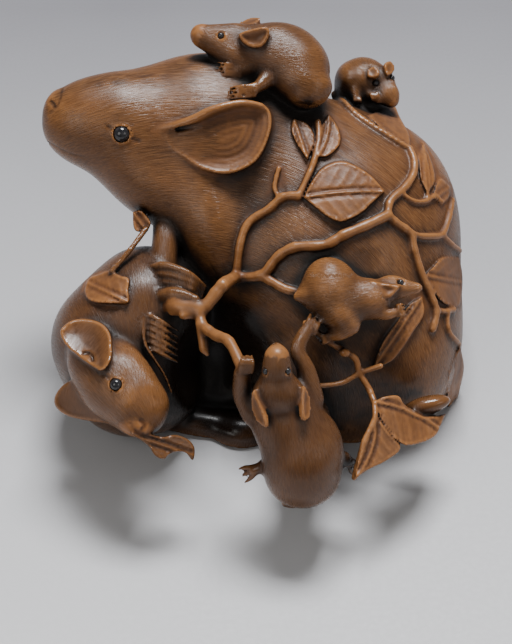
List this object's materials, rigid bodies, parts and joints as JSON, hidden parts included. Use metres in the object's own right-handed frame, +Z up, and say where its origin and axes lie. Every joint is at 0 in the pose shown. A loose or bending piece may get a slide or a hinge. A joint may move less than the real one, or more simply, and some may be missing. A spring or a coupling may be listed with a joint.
{
  "type": "carved rat group okimono",
  "caption": "Small carved wood okimono of a large rat with its young, wrapped in vine stems and leaves, with inlaid dark eyes.",
  "frame": {"origin": "on the flat underside, below the chest of the large rat", "axes": "+Z up, -Y towards the viewer of the front, +X to that viewer's right"},
  "size_m": [0.1188, 0.1301, 0.0959],
  "materials": {
    "boxwood": "stained and polished, satin",
    "dark_horn": "polished dark horn, gloss"
  },
  "bodies": {
    "root": {"carving": "boxwood", "eye_large_near": "dark_horn", "eye_large_far": "dark_horn", "eye_left_near": "dark_horn", "eye_left_far": "dark_horn", "eye_front_near": "dark_horn", "eye_front_far": "dark_horn", "eye_middle_near": "dark_horn", "eye_middle_far": "dark_horn", "eye_top_near": "dark_horn", "eye_top_far": "dark_horn", "eye_second_near": "dark_horn", "eye_second_far": "dark_horn"}
  },
  "joints": []
}
